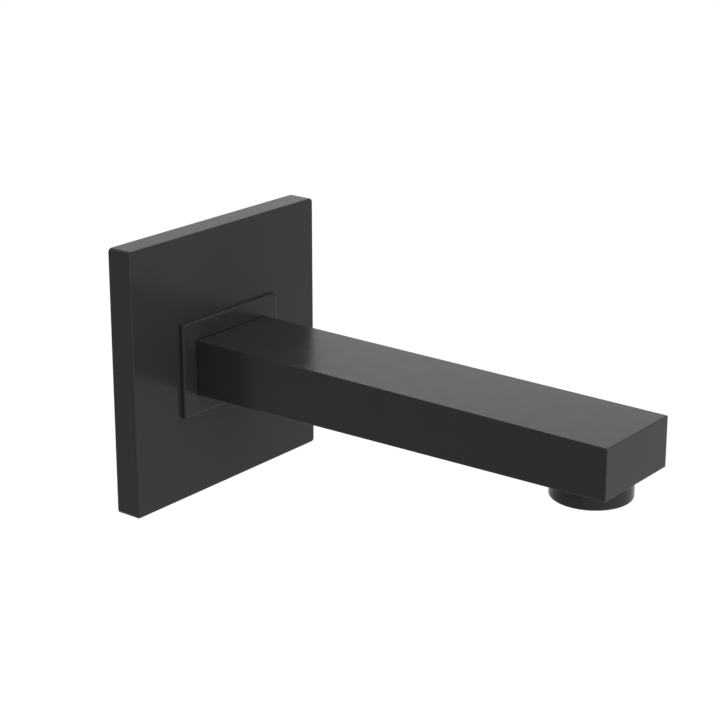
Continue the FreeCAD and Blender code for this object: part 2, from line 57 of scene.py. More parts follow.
def middle_of(node, axis):
    """The middle of a node's box along one axis."""
    low, high = box_in_mm(node)
    return (low[axis] + high[axis]) / 2


# Places and sizes that several pieces share

X, Y, Z = range(3)
BAR_TIP_HEIGHT = 18
BAR_CLEARANCE = 0.15
SLEEVE_WALL = 1.8
SOCKET_RADIUS = 7.5
HOUSING_THREAD_RADIUS = 11.95
plate_low, plate_high = box_in_mm("wall_plate")
collar_low, collar_high = box_in_mm("collar")
bar_low, bar_high = box_in_mm("spout_arm")
housing_low, housing_high = box_in_mm("aerator_housing")
sleeve_gap = BAR_CLEARANCE + SLEEVE_WALL
screw_middle = (0, middle_of("grub_screw", Y), 0)
outlet_middle = (0, middle_of("aerator_housing", Y), 0)
outlet_level = bar_high[Z] - BAR_TIP_HEIGHT


# Meshes. A corner that is meant to be sharp has a very small radius, so that all loops have as many points.

MERGE_DISTANCE = 1e-7
SMOOTH_ANGLE = math.radians(35)
SHARP = 0.03
CORNER_STEPS = 5
ROUNDING_STEPS = 4
ROUND_SEGMENTS = 96
QUARTER = math.pi / 2
TURN = 2 * math.pi


def work_on(thing):
    """Make a thing the only one that is selected, and the active one."""
    bpy.ops.object.select_all(action="DESELECT")
    thing.select_set(True)
    bpy.context.view_layer.objects.active = thing


def merge_points(thing):
    """Merge a mesh's doubled points and turn its faces outwards."""
    work_on(thing)
    bpy.ops.object.mode_set(mode="EDIT")
    bpy.ops.mesh.select_all(action="SELECT")
    bpy.ops.mesh.remove_doubles(threshold=MERGE_DISTANCE)
    bpy.ops.mesh.normals_make_consistent(inside=False)
    bpy.ops.object.mode_set(mode="OBJECT")


def mesh_object(name, points, faces):
    """A mesh from points in millimetres, with doubled points merged and its faces turned outwards."""
    mesh = bpy.data.meshes.new(name)
    mesh.from_pydata([tuple(coordinate * MM for coordinate in point) for point in points], [], faces)
    thing = bpy.data.objects.new(name, mesh)
    bpy.context.scene.collection.objects.link(thing)
    merge_points(thing)
    return thing


def soften_shading(thing):
    """Smooth shading below an angle, with the large faces kept flat."""
    work_on(thing)
    bpy.ops.object.shade_smooth_by_angle(angle=SMOOTH_ANGLE)
    weighted = thing.modifiers.new("weighted_normals", "WEIGHTED_NORMAL")
    weighted.mode = "FACE_AREA"
    weighted.keep_sharp = True


def spaced(first, last, count):
    """Values in equal steps, both ends among them."""
    return [first + (last - first) * index / count for index in range(count + 1)]


def ring_faces(rings, segments, closed, capped=False):
    """Quads between rings of points that follow each other, and from the last back to the first if closed."""
    faces = []
    for ring in range(rings if closed else rings - 1):
        here = ring * segments
        there = (ring + 1) % rings * segments
        for step in range(segments):
            beside = (step + 1) % segments
            faces.append((here + step, here + beside, there + beside, there + step))
    if capped:
        faces.append(tuple(range(segments)))
        faces.append(tuple(range((rings - 1) * segments, rings * segments)))
    return faces


def turned_piece(name, rings, axis, middle=(0, 0, 0), segments=ROUND_SEGMENTS, closed=False):
    """A surface through rings round an axis, "Y" or "Z". A ring is a height on the axis and a radius, which
    may be a function of the height and the angle. It closes on itself, or has both ends capped."""
    points = []
    for height, radius in rings:
        for step in range(segments):
            angle = TURN * step / segments
            reach = radius(height, angle) if callable(radius) else radius
            across = reach * math.cos(angle)
            along = reach * math.sin(angle)
            local = (across, height, along) if axis == "Y" else (across, along, height)
            points.append([start + offset for start, offset in zip(middle, local)])
    return mesh_object(name, points, ring_faces(len(rings), segments, closed, capped=not closed))


def boxed_piece(name, loops, closed=False):
    """A surface through rounded rectangles along Y: half width, lowest and highest Z, corner radius and Y."""
    points = []
    for half_x, low, high, corner, y in loops:
        for quarter in range(4):
            middle_x = (half_x - corner) * (1 if quarter in (0, 3) else -1)
            middle_z = high - corner if quarter in (0, 1) else low + corner
            for angle in spaced(QUARTER * quarter, QUARTER * (quarter + 1), CORNER_STEPS):
                x = middle_x + corner * math.cos(angle)
                z = middle_z + corner * math.sin(angle)
                points.append((x, y, z))
    faces = ring_faces(len(loops), 4 * (CORNER_STEPS + 1), closed, capped=not closed)
    return mesh_object(name, points, faces)


def even_loop(half_x, half_z, y, corner=SHARP):
    """A loop for a boxed piece that reaches as far above the axis as below it."""
    return (half_x, -half_z, half_z, corner, y)


def rounded_end(half_x, low, high, corner, y, radius):
    """Loops that round off the front end of a box with a given radius, the last of them at y."""
    loops = []
    for angle in spaced(0, QUARTER, ROUNDING_STEPS):
        inset = radius * (1 - math.cos(angle))
        rise = radius * (1 - math.sin(angle))
        loops.append((half_x - inset, low + inset, high - inset, max(corner - inset, SHARP), y + rise))
    return loops


def rounded_floor(half, floor, corner, radius):
    """Loops from the floor of a square hollow to its walls, along the rounding between them."""
    loops = []
    for angle in spaced(0, QUARTER, ROUNDING_STEPS):
        inset = radius * (1 - math.sin(angle))
        rise = radius * (1 - math.cos(angle))
        loops.append(even_loop(half - inset, half - inset, floor + rise, corner))
    return loops


def combine(piece, other, operation):
    """Cut another closed mesh out of a piece, or join it to the piece."""
    change = piece.modifiers.new("combine", "BOOLEAN")
    change.operation = operation
    change.solver = "EXACT"
    change.object = other
    work_on(piece)
    bpy.ops.object.modifier_apply(modifier=change.name)
    bpy.data.objects.remove(other)


# Screw threads: the flat root and the flat crest are shares of the pitch, with straight flanks between them

THREAD_FLAT = 1 / 6
THREAD_STEPS = 12


def thread_rings(pitch, outer, depth, start, end, run_in):
    """Rings for a thread between two heights, with a chamfer at either end."""
    def radius(height, angle):
        turn = (height / pitch + angle / TURN) % 1
        crest = (abs(2 * turn - 1) - THREAD_FLAT) / (1 - 2 * THREAD_FLAT)
        cone = outer - max(run_in - (height - start), run_in - (end - height), 0)
        return min(outer - depth * (1 - min(max(crest, 0), 1)), cone)

    count = round((end - start) / pitch * THREAD_STEPS)
    return [(height, radius) for height in spaced(start, end, count)]


# Hexagons

SIXTH = TURN / 6
HEX_CHAMFER_ANGLE = math.radians(30)
HEX_CHAMFER_STEPS = 5


def hexagon(across):
    """The radius of a hexagon by height and angle, from its size across flats."""
    def radius(height, angle):
        return across / 2 / math.cos((angle + SIXTH / 2) % SIXTH - SIXTH / 2)
    return radius


def hexagon_rings(across, start, end, face_radius):
    """Rings for a hexagon head from start down to end, with its corners turned off at either face."""
    flat = hexagon(across)
    slope = math.tan(HEX_CHAMFER_ANGLE)
    chamfer = (across / 2 / math.cos(SIXTH / 2) - face_radius) * slope

    def radius(height, angle):
        return min(flat(height, angle), face_radius + min(start - height, height - end) / slope)

    start_heights = spaced(start, start - chamfer, HEX_CHAMFER_STEPS)
    end_heights = spaced(end + chamfer, end, HEX_CHAMFER_STEPS)
    return [(height, radius) for height in start_heights + end_heights]


# Materials. Colour and roughness drift between two values, and small bumps lie on top of each other. A noise
# has features of a size in millimetres, some detail, and a factor for how close they lie along each axis.

NOISE_LOW = 0.3
NOISE_HIGH = 0.7


def noise(tree, size, detail=2, stretch=(1, 1, 1)):
    """Noise in the object's own space."""
    place = tree.nodes.new("ShaderNodeTexCoord")
    scaled = tree.nodes.new("ShaderNodeMapping")
    scaled.inputs["Scale"].default_value = tuple(factor / (size * MM) for factor in stretch)
    texture = tree.nodes.new("ShaderNodeTexNoise")
    texture.inputs["Scale"].default_value = 1
    texture.inputs["Detail"].default_value = detail
    tree.links.new(place.outputs["Object"], scaled.inputs["Vector"])
    tree.links.new(scaled.outputs["Vector"], texture.inputs["Vector"])
    return texture.outputs["Fac"]


def spread(tree, source, low, high):
    """The middle of a noise's range, spread from low to high."""
    node = tree.nodes.new("ShaderNodeMapRange")
    node.inputs["From Min"].default_value = NOISE_LOW
    node.inputs["From Max"].default_value = NOISE_HIGH
    node.inputs["To Min"].default_value = low
    node.inputs["To Max"].default_value = high
    tree.links.new(source, node.inputs["Value"])
    return node.outputs["Result"]


def blend_colours(tree, source, first, second):
    """The middle of a noise's range, blended from one colour to another."""
    node = tree.nodes.new("ShaderNodeValToRGB")
    node.color_ramp.elements[0].position = NOISE_LOW
    node.color_ramp.elements[0].color = (*first, 1)
    node.color_ramp.elements[1].position = NOISE_HIGH
    node.color_ramp.elements[1].color = (*second, 1)
    tree.links.new(source, node.inputs["Fac"])
    return node.outputs["Color"]


def bump(tree, source, height, below):
    """A bump of a height in millimetres, on top of the one below it if there is one."""
    node = tree.nodes.new("ShaderNodeBump")
    node.inputs["Strength"].default_value = 1
    node.inputs["Distance"].default_value = height * MM
    tree.links.new(source, node.inputs["Height"])
    if below:
        tree.links.new(below, node.inputs["Normal"])
    return node.outputs["Normal"]


def new_material(name, colours, tint, roughness, patches, bumps, ior=1.45, metallic=0, sheen=0):
    """Colours and roughness are pairs, each with a noise between them. A bump is a height and a noise."""
    material = bpy.data.materials.new(name)
    material.use_nodes = True
    tree = material.node_tree
    shader = tree.nodes["Principled BSDF"]
    shader.inputs["IOR"].default_value = ior
    shader.inputs["Metallic"].default_value = metallic
    shader.inputs["Sheen Weight"].default_value = sheen
    tree.links.new(blend_colours(tree, noise(tree, **tint), *colours), shader.inputs["Base Color"])
    tree.links.new(spread(tree, noise(tree, **patches), *roughness), shader.inputs["Roughness"])
    normal = None
    for height, grain in bumps:
        normal = bump(tree, noise(tree, **grain), height, normal)
    tree.links.new(normal, shader.inputs["Normal"])
    return material


FIBRE_STRANDS = {"size": 0.8, "detail": 5, "stretch": (1, 6, 1)}
TURNING_MARKS = {"size": 1, "stretch": (0.15, 9, 0.15)}
MOULDED = {
    "tint": {"size": 4, "detail": 3},
    "roughness": (0.34, 0.5),
    "patches": {"size": 0.8, "detail": 3},
    "bumps": [(0.004, {"size": 0.2})],
    "ior": 1.5,
}
FINISHES = {
    # Satin coat, nearly black, with a faint orange peel and an even sheen
    "black_coat": {
        "colours": ((0.0225, 0.0225, 0.0227), (0.0245, 0.0245, 0.0246)),
        "tint": {"size": 30, "detail": 3},
        "roughness": (0.2, 0.27),
        "patches": {"size": 6, "detail": 4},
        "bumps": [(0.0005, {"size": 1.1}), (0.0006, {"size": 0.12})],
        "ior": 1.21,
        "sheen": 0.03,
    },
    # The same coat where it lies thin and dry on the plate's unmachined back
    "rough_coat": {
        "colours": ((0.012, 0.012, 0.012), (0.022, 0.021, 0.02)),
        "tint": {"size": 8, "detail": 5},
        "roughness": (0.45, 0.65),
        "patches": {"size": 2, "detail": 4},
        "bumps": [(0.03, {"size": 1.6, "detail": 4}), (0.012, {"size": 0.35})],
        "ior": 1.4,
    },
    # Bare brass with fine marks from turning, which run round the inlet's axis
    "bare_brass": {
        "colours": ((0.62, 0.44, 0.19), (0.74, 0.56, 0.27)),
        "tint": {"size": 5, "detail": 3},
        "roughness": (0.22, 0.4),
        "patches": {"size": 1.5, "detail": 4},
        "bumps": [(0.006, TURNING_MARKS)],
        "metallic": 1,
    },
    # Stainless steel wire and screw
    "screw_steel": {
        "colours": ((0.46, 0.46, 0.47), (0.6, 0.6, 0.61)),
        "tint": {"size": 1, "detail": 3},
        "roughness": (0.24, 0.4),
        "patches": {"size": 0.3, "detail": 3},
        "bumps": [(0.002, {"size": 0.15})],
        "metallic": 1,
    },
    # Black moulded rubber with a dull grain
    "seal_rubber": {
        "colours": ((0.02, 0.02, 0.02), (0.034, 0.034, 0.035)),
        "tint": {"size": 3, "detail": 4},
        "roughness": (0.6, 0.8),
        "patches": {"size": 1, "detail": 4},
        "bumps": [(0.01, {"size": 0.25, "detail": 3})],
        "ior": 1.5,
    },
    # Red-brown pressed fibre, with short strands in the plane of the washer
    "fibre": {
        "colours": ((0.22, 0.055, 0.035), (0.4, 0.14, 0.09)),
        "tint": FIBRE_STRANDS,
        "roughness": (0.7, 0.9),
        "patches": FIBRE_STRANDS,
        "bumps": [(0.03, FIBRE_STRANDS)],
    },
    # Moulded plastic with a slight mottle and a fine grain: white inserts, and a dark grey outlet
    "pale_plastic": {"colours": ((0.68, 0.68, 0.65), (0.78, 0.78, 0.76)), **MOULDED},
    "grid_plastic": {"colours": ((0.17, 0.17, 0.17), (0.25, 0.25, 0.25)), **MOULDED},
}
materials = {name: new_material(name, **finish) for name, finish in FINISHES.items()}


def dress(thing, material):
    """Give a piece one material and smooth shading."""
    thing.data.materials.clear()
    thing.data.materials.append(materials[material])
    soften_shading(thing)


def stand_for(piece, node, material):
    """Let a detailed piece take the place of a node of the frame."""
    dress(piece, material)
    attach(piece, "root")
    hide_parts(node)


# Nodes of the frame that keep their own shape. Doubled points are welded, so that shading runs across them.

WELD_DISTANCE = 0.002
KEPT = {
    "wall_gasket": "seal_rubber",
    "arm_seal": "seal_rubber",
    "nipple_washer": "fibre",
    "aerator_washer": "seal_rubber",
    "inlet_screen": "pale_plastic",
    "jet_plate": "pale_plastic",
    "aerator_cage": "pale_plastic",
    "outlet_grid": "grid_plastic",
}
for kept_node, kept_material in KEPT.items():
    weld = nodes[kept_node].modifiers.new("weld", "WELD")
    weld.merge_threshold = WELD_DISTANCE * MM
    dress(nodes[kept_node], kept_material)


# Collar: a flange on the plate's face, a sleeve through the plate, and a groove for the rubber frame

COLLAR_CORNER = 0.6
COLLAR_EDGE = 0.8
LEAD_IN = 0.2
GROOVE_DEPTH = 0.9
SEAL_CLEARANCE = 0.05


def round_bar(gap, y):
    """A loop that keeps a gap from the bar's root."""
    return even_loop(bar_high[X] + gap, bar_high[Z] + gap, y)


def make_collar():
    half_x, sleeve_back, half_z = collar_high
    front = collar_low[Y]
    flange_back = plate_low[Y]
    seal_low, seal_high = box_in_mm("arm_seal")
    groove_front = seal_low[Y] - SEAL_CLEARANCE
    groove_back = seal_high[Y] + SEAL_CLEARANCE
    groove_gap = BAR_CLEARANCE + GROOVE_DEPTH
    collar = boxed_piece("bar_collar", [
        even_loop(half_x, half_z, flange_back, COLLAR_CORNER),
        *rounded_end(half_x, -half_z, half_z, COLLAR_CORNER, front, COLLAR_EDGE),
        round_bar(BAR_CLEARANCE + LEAD_IN, front),
        round_bar(BAR_CLEARANCE, front + LEAD_IN),
        round_bar(BAR_CLEARANCE, groove_front),
        round_bar(groove_gap, groove_front),
        round_bar(groove_gap, groove_back),
        round_bar(BAR_CLEARANCE, groove_back),
        round_bar(BAR_CLEARANCE, sleeve_back),
        round_bar(sleeve_gap, sleeve_back),
        round_bar(sleeve_gap, flange_back),
    ], closed=True)
    stand_for(collar, "collar", "black_coat")


# Wall plate: its front edge is rounded, and its back is hollow with a seat for the rubber frame

PLATE_CORNER = 1.5
PLATE_EDGE = 0.8
PLATE_SKIN = 2.5
PLATE_RIM = 2.5
SLEEVE_CLEARANCE = 0.05
GASKET_WIDTH = 3.3
SEAT_CORNER = 0.25
HOLLOW_CORNER = 2
HOLLOW_ROUNDING = 1.5


def make_plate():
    half, back, _ = plate_high
    front = plate_low[Y]
    floor = front + PLATE_SKIN
    seat = half - PLATE_RIM
    seat_floor = box_in_mm("wall_gasket")[0][Y]
    hollow = seat - GASKET_WIDTH
    opening_gap = sleeve_gap + SLEEVE_CLEARANCE
    plate = boxed_piece("square_plate", [
        even_loop(half, half, back, PLATE_CORNER),
        *rounded_end(half, -half, half, PLATE_CORNER, front, PLATE_EDGE),
        round_bar(opening_gap, front),
        round_bar(opening_gap, floor),
        *rounded_floor(hollow, floor, HOLLOW_CORNER, HOLLOW_ROUNDING),
        even_loop(hollow, hollow, seat_floor, HOLLOW_CORNER),
        even_loop(seat, seat, seat_floor, SEAT_CORNER),
        even_loop(seat, seat, back, SEAT_CORNER),
    ], closed=True)
    stand_for(plate, "wall_plate", "black_coat")
    plate.data.materials.append(materials["rough_coat"])
    for face in plate.data.polygons:
        x, y, z = [coordinate / MM for coordinate in face.center]
        inside = max(abs(x), abs(z)) < seat + SHARP and y > front + SHARP
        face.material_index = 1 if inside else 0


# Bar: rounded edges outside, and inside the socket, the waterway and the boss with its plain outlet bore

BAR_EDGE = 0.3
BAR_WALL = 3
DUCT_CORNER = 1
SOCKET_END = -42
SOCKET_CHAMFER = 0.8
THROAT_RADIUS = 6
THROAT_END = -46
CUT_OVERSHOOT = 0.5
SCREW_HOLE_RADIUS = 2.55
SCREW_HOLE_CHAMFER = 0.3
SCREW_HOLE_TOP = -3
SCREW_SEGMENTS = 48
THREAD_CLEARANCE = 0.1
OUTLET_CHAMFER = 0.4
OUTLET_DEPTH = 7.5
SEAT_THICKNESS = 1.5
CHAMBER_RADIUS = 9.4
CHAMBER_OVERSHOOT = 0.3
BOSS_WALL = 2.5
FACE_MARGIN = 0.3


def underside(y):
    """Level of the bar's underside, which rises from the collar's front to the tip."""
    share = (y - collar_low[Y]) / (bar_low[Y] - collar_low[Y])
    return bar_low[Z] + (outlet_level - bar_low[Z]) * share


def duct_loop(y):
    """The waterway's section, which keeps a wall from the bar's outside."""
    return (bar_high[X] - BAR_WALL, underside(y) + BAR_WALL, bar_high[Z] - BAR_WALL, DUCT_CORNER, y)


def add_outlet(bar):
    """The boss inside the bar, and in it a plain bore for the housing's thread, the washer's seat and the
    chamber above it.
    """
    bore = HOUSING_THREAD_RADIUS + THREAD_CLEARANCE
    seat_level = outlet_level + OUTLET_DEPTH
    boss_radius = bore + BOSS_WALL
    boss_foot = underside(outlet_middle[Y]) + BAR_WALL / 2
    boss_top = seat_level + SEAT_THICKNESS
    boss = turned_piece("boss", [(boss_foot, boss_radius), (boss_top, boss_radius)], "Z", outlet_middle)
    combine(bar, boss, "UNION")
    face_radius = housing_high[X] + FACE_MARGIN
    way_out = turned_piece("way_out", [
        (outlet_level - BAR_WALL, face_radius),
        (outlet_level, face_radius),
        (outlet_level, bore + OUTLET_CHAMFER),
        (outlet_level + OUTLET_CHAMFER, bore),
        (seat_level, bore),
        (seat_level, CHAMBER_RADIUS),
        (boss_top + CHAMBER_OVERSHOOT, CHAMBER_RADIUS),
    ], "Z", outlet_middle)
    combine(bar, way_out, "DIFFERENCE")


def cut_socket(bar):
    """The socket for the nipple's spigot, and the throat from it to the waterway."""
    mouth = bar_high[Y]
    socket = turned_piece("socket", [
        (mouth + SOCKET_CHAMFER, SOCKET_RADIUS + 2 * SOCKET_CHAMFER),
        (mouth - SOCKET_CHAMFER, SOCKET_RADIUS),
        (SOCKET_END, SOCKET_RADIUS),
        (SOCKET_END, THROAT_RADIUS),
        (THROAT_END - CUT_OVERSHOOT, THROAT_RADIUS),
    ], "Y")
    combine(bar, socket, "DIFFERENCE")


def cut_screw_hole(bar):
    """The hole for the set screw, from the underside up into the socket."""
    mouth = underside(screw_middle[Y])
    screw_hole = turned_piece("screw_hole", [
        (mouth - CUT_OVERSHOOT, SCREW_HOLE_RADIUS + SCREW_HOLE_CHAMFER + CUT_OVERSHOOT),
        (mouth + SCREW_HOLE_CHAMFER, SCREW_HOLE_RADIUS),
        (SCREW_HOLE_TOP, SCREW_HOLE_RADIUS),
    ], "Z", screw_middle, SCREW_SEGMENTS)
    combine(bar, screw_hole, "DIFFERENCE")


def make_bar():
    half, back, top = bar_high
    low, tip = bar_low[Z], bar_low[Y]
    bar = boxed_piece("flat_bar", [
        (half, low, top, BAR_EDGE, back),
        (half, low, top, BAR_EDGE, collar_low[Y]),
        *rounded_end(half, outlet_level, top, BAR_EDGE, tip, BAR_EDGE),
    ])
    duct = boxed_piece("duct", [duct_loop(THROAT_END), duct_loop(tip + BAR_WALL)])
    combine(bar, duct, "DIFFERENCE")
    add_outlet(bar)
    cut_socket(bar)
    cut_screw_hole(bar)
    merge_points(bar)
    stand_for(bar, "spout_arm", "black_coat")


# Wall nipple: pipe thread, relief, hexagon, and a spigot with a locking groove and two ring grooves

PIPE_PITCH = 1.814
PIPE_DEPTH = 1.16
PIPE_RADIUS = 10.48
PIPE_START = -0.2
PIPE_CHAMFER = 1
RELIEF_RADIUS = 9.2
HEX_THICKNESS = 5
HEX_FACE_RADIUS = 11.7
SPIGOT_CLEARANCE = 0.15
SPIGOT_RADIUS = SOCKET_RADIUS - SPIGOT_CLEARANCE
SPIGOT_LEAD_LENGTH = 1
SPIGOT_LEAD_DEPTH = 0.6
NIPPLE_BORE = 5.1
BORE_CHAMFER = 0.5
LOCK_GROOVE = {"width": 3.6, "radius": 6.1}
RING_GROOVE = {"width": 2, "radius": 5.96}
GROOVE_EDGE = 0.15


def groove_rings(middle, width, radius):
    """A groove in the spigot with its edges broken, from the wall outwards."""
    back = middle + width / 2
    front = middle - width / 2
    edge_radius = SPIGOT_RADIUS - GROOVE_EDGE
    return [
        (back + GROOVE_EDGE, SPIGOT_RADIUS),
        (back, edge_radius),
        (back, radius),
        (front, radius),
        (front, edge_radius),
        (front - GROOVE_EDGE, SPIGOT_RADIUS),
    ]


def make_nipple():
    low, high = box_in_mm("wall_nipple")
    wall_end, spigot_end = high[Y], low[Y]
    hex_back = box_in_mm("nipple_washer")[0][Y]
    hex_front = hex_back - HEX_THICKNESS
    thread = thread_rings(PIPE_PITCH, PIPE_RADIUS, PIPE_DEPTH, PIPE_START, wall_end, PIPE_CHAMFER)
    nipple = turned_piece("threaded_nipple", [
        (wall_end, NIPPLE_BORE + BORE_CHAMFER),
        (wall_end, PIPE_RADIUS - PIPE_DEPTH),
        *reversed(thread),
        (PIPE_START, RELIEF_RADIUS),
        (hex_back, RELIEF_RADIUS),
        *hexagon_rings(2 * high[X], hex_back, hex_front, HEX_FACE_RADIUS),
        (hex_front, SPIGOT_RADIUS),
        *groove_rings(screw_middle[Y], **LOCK_GROOVE),
        *groove_rings(middle_of("inner_o_ring", Y), **RING_GROOVE),
        *groove_rings(middle_of("outer_o_ring", Y), **RING_GROOVE),
        (spigot_end + SPIGOT_LEAD_LENGTH, SPIGOT_RADIUS),
        (spigot_end, SPIGOT_RADIUS - SPIGOT_LEAD_DEPTH),
        (spigot_end, NIPPLE_BORE + BORE_CHAMFER),
        (spigot_end + BORE_CHAMFER, NIPPLE_BORE),
        (wall_end - BORE_CHAMFER, NIPPLE_BORE),
    ], "Y", closed=True)
    stand_for(nipple, "wall_nipple", "bare_brass")


# Ring seals with their full round section

RING_STEPS = 20


def make_ring_seal(name, node):
    low, high = box_in_mm(node)
    radius = (high[Y] - low[Y]) / 2
    circle = high[X] - radius
    middle = middle_of(node, Y)
    angles = spaced(0, TURN, RING_STEPS)[:-1]
    rings = [(middle + radius * math.sin(angle), circle + radius * math.cos(angle)) for angle in angles]
    stand_for(turned_piece(name, rings, "Y", closed=True), node, "seal_rubber")


# Set screw: a hexagon socket below, a metric thread, and a dog point that bites in the nipple

SCREW_PITCH = 0.8
SCREW_DEPTH = 0.49
SCREW_CHAMFER = 0.4
KEY_ACROSS = 2.5
KEY_DEPTH = 1.4
KEY_CONE = 0.3
KEY_MOUTH_DEPTH = 0.1
KEY_MOUTH_RADIUS = 1.55
DOG_RADIUS = 1.5
DOG_LENGTH = 1.35
DOG_CHAMFER = 0.2


def make_screw():
    low, high = box_in_mm("grub_screw")
    bottom, tip = low[Z], high[Z]
    shoulder = tip - DOG_LENGTH
    key = hexagon(KEY_ACROSS)
    screw = turned_piece("socket_screw", [
        (bottom + KEY_DEPTH + KEY_CONE, 0),
        (bottom + KEY_DEPTH, key),
        (bottom + KEY_MOUTH_DEPTH, key),
        (bottom, KEY_MOUTH_RADIUS),
        *thread_rings(SCREW_PITCH, high[X], SCREW_DEPTH, bottom, shoulder, SCREW_CHAMFER),
        (shoulder, DOG_RADIUS),
        (tip - DOG_CHAMFER, DOG_RADIUS),
        (tip, DOG_RADIUS - DOG_CHAMFER),
        (tip, 0),
    ], "Z", screw_middle, SCREW_SEGMENTS)
    stand_for(screw, "grub_screw", "screw_steel")


# Aerator housing: a rounded lower edge, a lip that holds the inserts, and a fine thread

HOUSING_SEGMENTS = 128
HOUSING_EDGE = 0.8
HOUSING_EDGE_STEPS = 6
HOUSING_RIM = 0.15
HOUSING_PITCH = 1
HOUSING_THREAD_DEPTH = 0.61
HOUSING_THREAD_CHAMFER = 0.5
HOUSING_BORE = 10.9
HOUSING_BORE_CHAMFER = 0.3
LIP_RADIUS = 10
LIP_HEIGHT = 1


def make_housing():
    radius, bottom, top = housing_high[X], housing_low[Z], housing_high[Z]
    rings = [(bottom + HOUSING_RIM, LIP_RADIUS), (bottom, LIP_RADIUS + HOUSING_RIM)]
    for angle in spaced(0, QUARTER, HOUSING_EDGE_STEPS):
        rise = HOUSING_EDGE * (1 - math.cos(angle))
        inset = HOUSING_EDGE * (1 - math.sin(angle))
        rings.append((bottom + rise, radius - inset))
    rings += [
        (outlet_level - HOUSING_RIM, radius),
        (outlet_level, radius - HOUSING_RIM),
        (outlet_level, HOUSING_THREAD_RADIUS - HOUSING_THREAD_DEPTH),
        *thread_rings(
            HOUSING_PITCH, HOUSING_THREAD_RADIUS, HOUSING_THREAD_DEPTH,
            outlet_level, top, HOUSING_THREAD_CHAMFER,
        ),
        (top, HOUSING_BORE + HOUSING_BORE_CHAMFER),
        (top - HOUSING_BORE_CHAMFER, HOUSING_BORE),
        (bottom + LIP_HEIGHT, HOUSING_BORE),
        (bottom + LIP_HEIGHT, LIP_RADIUS),
    ]
    housing = turned_piece("threaded_ring", rings, "Z", outlet_middle, HOUSING_SEGMENTS, closed=True)
    stand_for(housing, "aerator_housing", "black_coat")


# Woven screens: wires that pass over and under each other, held in a pressed rim

WIRE_RADIUS = 0.095
WIRE_WAVE = 0.1
WIRE_PITCH = 1.1
WIRE_SIDES = 6
WIRE_STEPS = 6
SCREEN_RIM_WIDTH = 0.9
SCREEN_CROSSING = math.radians(45)


def add_wire(points, faces, place, half_length, phase, along_x):
    """One waved wire across the screen, added to the lists of points and faces."""
    count = round(2 * half_length / WIRE_PITCH * WIRE_STEPS)
    first = len(points)
    for travel in spaced(-half_length, half_length, count):
        lift = WIRE_WAVE * math.cos(math.pi * (travel / WIRE_PITCH + phase))
        for angle in spaced(0, TURN, WIRE_SIDES)[:-1]:
            beside = place + WIRE_RADIUS * math.cos(angle)
            height = lift + WIRE_RADIUS * math.sin(angle)
            points.append((travel, beside, height) if along_x else (beside, travel, height))
    for face in ring_faces(count + 1, WIRE_SIDES, closed=False, capped=True):
        faces.append(tuple(first + index for index in face))


def add_screen_rim(points, faces, inner, outer, half_thickness):
    """The flat ring that the wires end in, added to the same lists."""
    first = len(points)
    section = [
        (-half_thickness, inner),
        (half_thickness, inner),
        (half_thickness, outer),
        (-half_thickness, outer),
    ]
    for height, radius in section:
        for angle in spaced(0, TURN, ROUND_SEGMENTS)[:-1]:
            points.append((radius * math.cos(angle), radius * math.sin(angle), height))
    for face in ring_faces(len(section), ROUND_SEGMENTS, closed=True):
        faces.append(tuple(first + index for index in face))


def make_screen(name, node, turned):
    low, high = box_in_mm(node)
    outer = high[X]
    inner = outer - SCREEN_RIM_WIDTH
    wire_reach = (inner + outer) / 2
    rows = round(inner / WIRE_PITCH)
    points = []
    faces = []
    for row in range(-rows, rows + 1):
        place = row * WIRE_PITCH
        half_length = math.sqrt(wire_reach ** 2 - place ** 2)
        add_wire(points, faces, place, half_length, row, along_x=True)
        add_wire(points, faces, place, half_length, row + 1, along_x=False)
    add_screen_rim(points, faces, inner, outer, (high[Z] - low[Z]) / 2)
    turn = Matrix.Rotation(turned, 3, "Z")
    middle = Vector((0, outlet_middle[Y], middle_of(node, Z)))
    screen = mesh_object(name, [turn @ Vector(point) + middle for point in points], faces)
    stand_for(screen, node, "screw_steel")


make_plate()
make_collar()
make_bar()
make_nipple()
make_ring_seal("round_ring_in", "inner_o_ring")
make_ring_seal("round_ring_out", "outer_o_ring")
make_screw()
make_housing()
make_screen("woven_screen_low", "lower_mesh", turned=0)
make_screen("woven_screen_high", "upper_mesh", turned=SCREEN_CROSSING)


# Stage: a white surround to look at and in reflections, and a pale floor below

WORLD_GLOW = 1
WORLD_LIGHT = 0.42
FLOOR_LEVEL = -0.9
FLOOR_HALF = 6
FLOOR_COLOUR = (0.95, 0.95, 0.95, 1)
FLOOR_GLOW = 1.17
FLOOR_SHADOW = 0.2
WHITE = (1, 1, 1, 1)


def mix_shaders(tree, factor, first, second):
    """Two shaders mixed by a number or by a socket."""
    mix = tree.nodes.new("ShaderNodeMixShader")
    if isinstance(factor, float):
        mix.inputs["Fac"].default_value = factor
    else:
        tree.links.new(factor, mix.inputs["Fac"])
    tree.links.new(first, mix.inputs[1])
    tree.links.new(second, mix.inputs[2])
    return mix.outputs["Shader"]


def plain_shader(tree, kind, colour, strength=None):
    """A shader with a colour, and with a strength where it has one."""
    node = tree.nodes.new(kind)
    node.inputs["Color"].default_value = colour
    if strength is not None:
        node.inputs["Strength"].default_value = strength
    return node.outputs[0]


def white_to_the_eye(tree, seen, lit):
    """What camera, glossy and transmission rays see, and what lights the object."""
    path = tree.nodes.new("ShaderNodeLightPath")
    total = path.outputs["Is Camera Ray"]
    for name in ("Is Glossy Ray", "Is Transmission Ray"):
        add = tree.nodes.new("ShaderNodeMath")
        add.operation = "MAXIMUM"
        tree.links.new(total, add.inputs[0])
        tree.links.new(path.outputs[name], add.inputs[1])
        total = add.outputs["Value"]
    return mix_shaders(tree, total, lit, seen)


